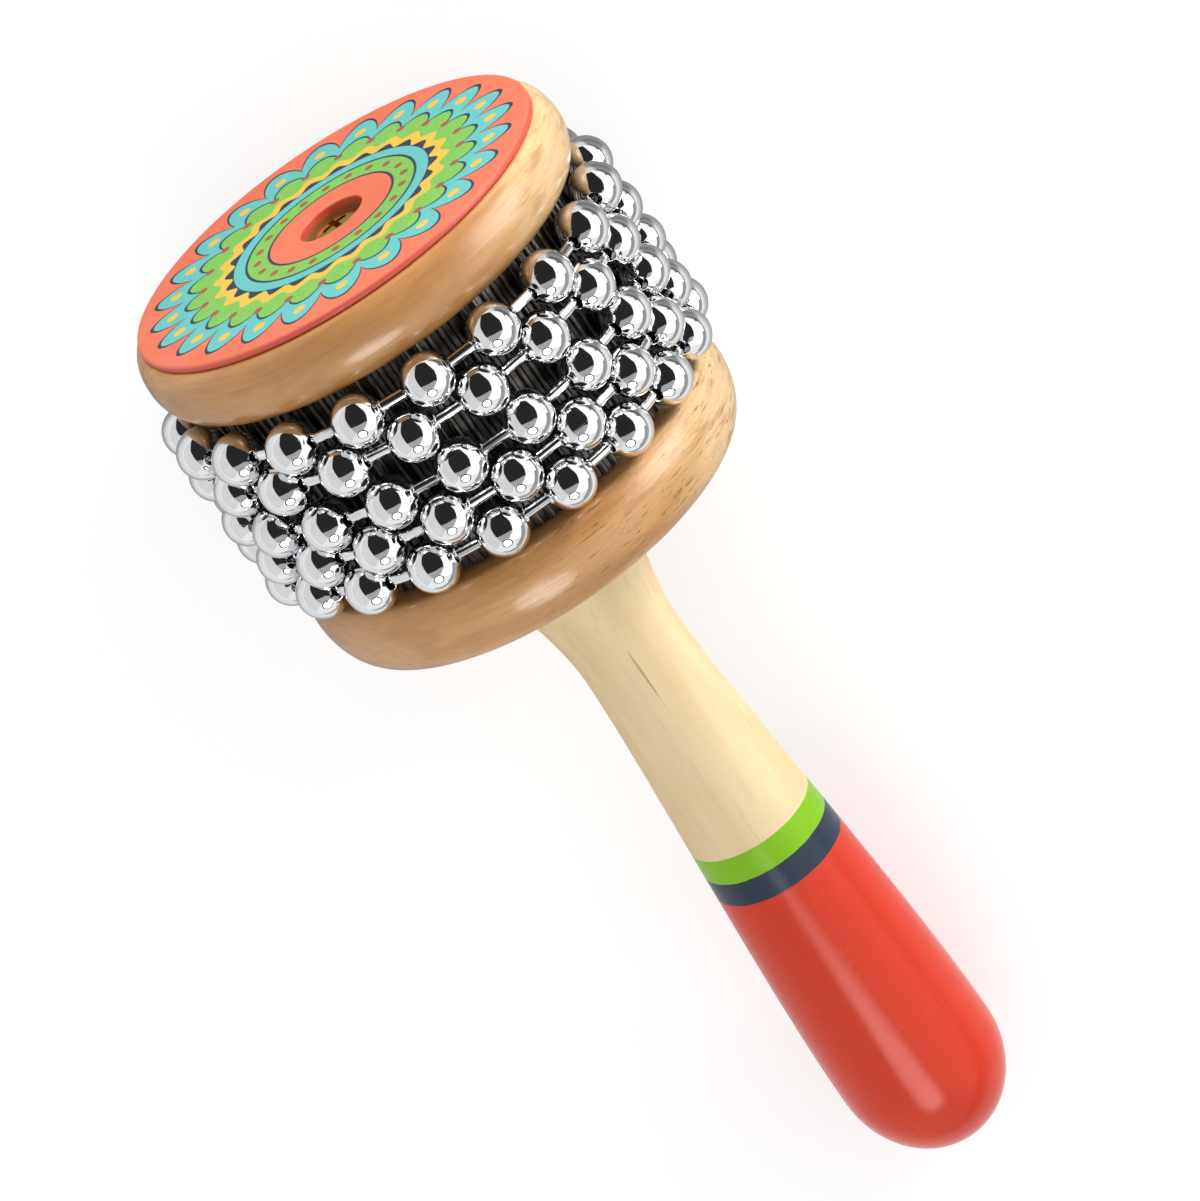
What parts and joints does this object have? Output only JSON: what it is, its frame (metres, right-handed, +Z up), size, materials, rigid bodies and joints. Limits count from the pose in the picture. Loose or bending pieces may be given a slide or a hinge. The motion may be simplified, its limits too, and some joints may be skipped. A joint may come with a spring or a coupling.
{
  "type": "cabasa",
  "caption": "Small hand-held cabasa: turned wooden handle, drum in ribbed steel between two wooden discs, and loose rows of ball chain that turn round the drum to rasp.",
  "frame": {"origin": "on the floor it lies on, under the middle of its box", "axes": "+Z up, +X along its length towards the face; the drum's axis rises about 11 degrees towards the face"},
  "size_m": [0.2078, 0.087, 0.0901],
  "materials": {
    "handle_wood": "pale satin lacquered wood, with painted bands and a red painted butt",
    "disc_wood": "gloss lacquered beech",
    "core_wood": "bare wood",
    "ribbed_steel": "bright ribbed sheet",
    "face_lacquer": "thin wooden plate in red lacquer with a printed pattern",
    "screw_brass": "brass-plated",
    "chain_chrome": "polished chrome"
  },
  "bodies": {
    "body": {"handle": "handle_wood", "lower_disc": "disc_wood", "drum_core": "core_wood", "ribbed_sleeve": "ribbed_steel", "upper_disc": "disc_wood", "face_plate": "face_lacquer", "screw_washer": "screw_brass", "center_screw": "screw_brass"},
    "row_1": {"chain_row_1": "chain_chrome", "chain_coupling_1": "chain_chrome"},
    "row_2": {"chain_row_2": "chain_chrome", "chain_coupling_2": "chain_chrome"},
    "row_3": {"chain_row_3": "chain_chrome", "chain_coupling_3": "chain_chrome"},
    "row_4": {"chain_row_4": "chain_chrome", "chain_coupling_4": "chain_chrome"},
    "row_5": {"chain_row_5": "chain_chrome", "chain_coupling_5": "chain_chrome"}
  },
  "joints": [
    {"name": "row_1_spin", "type": "hinge", "parent": "body", "child": "row_1", "pos_m": [0.07947, 0, 0.04758], "axis": [0.9812, 0, 0.1931], "continuous": true},
    {"name": "row_2_spin", "type": "hinge", "parent": "body", "child": "row_2", "pos_m": [0.07292, 0, 0.04629], "axis": [0.9812, 0, 0.1931], "continuous": true},
    {"name": "row_3_spin", "type": "hinge", "parent": "body", "child": "row_3", "pos_m": [0.06477, 0, 0.04468], "axis": [0.9812, 0, 0.1931], "continuous": true},
    {"name": "row_4_spin", "type": "hinge", "parent": "body", "child": "row_4", "pos_m": [0.05838, 0, 0.04342], "axis": [0.9812, 0, 0.1931], "continuous": true},
    {"name": "row_5_spin", "type": "hinge", "parent": "body", "child": "row_5", "pos_m": [0.05201, 0, 0.04217], "axis": [0.9812, 0, 0.1931], "continuous": true}
  ],
  "couplings": [
    {"joint": "row_1_spin", "follows": "row_3_spin", "ratio": 1},
    {"joint": "row_2_spin", "follows": "row_3_spin", "ratio": 1},
    {"joint": "row_4_spin", "follows": "row_3_spin", "ratio": 1},
    {"joint": "row_5_spin", "follows": "row_3_spin", "ratio": 1}
  ]
}
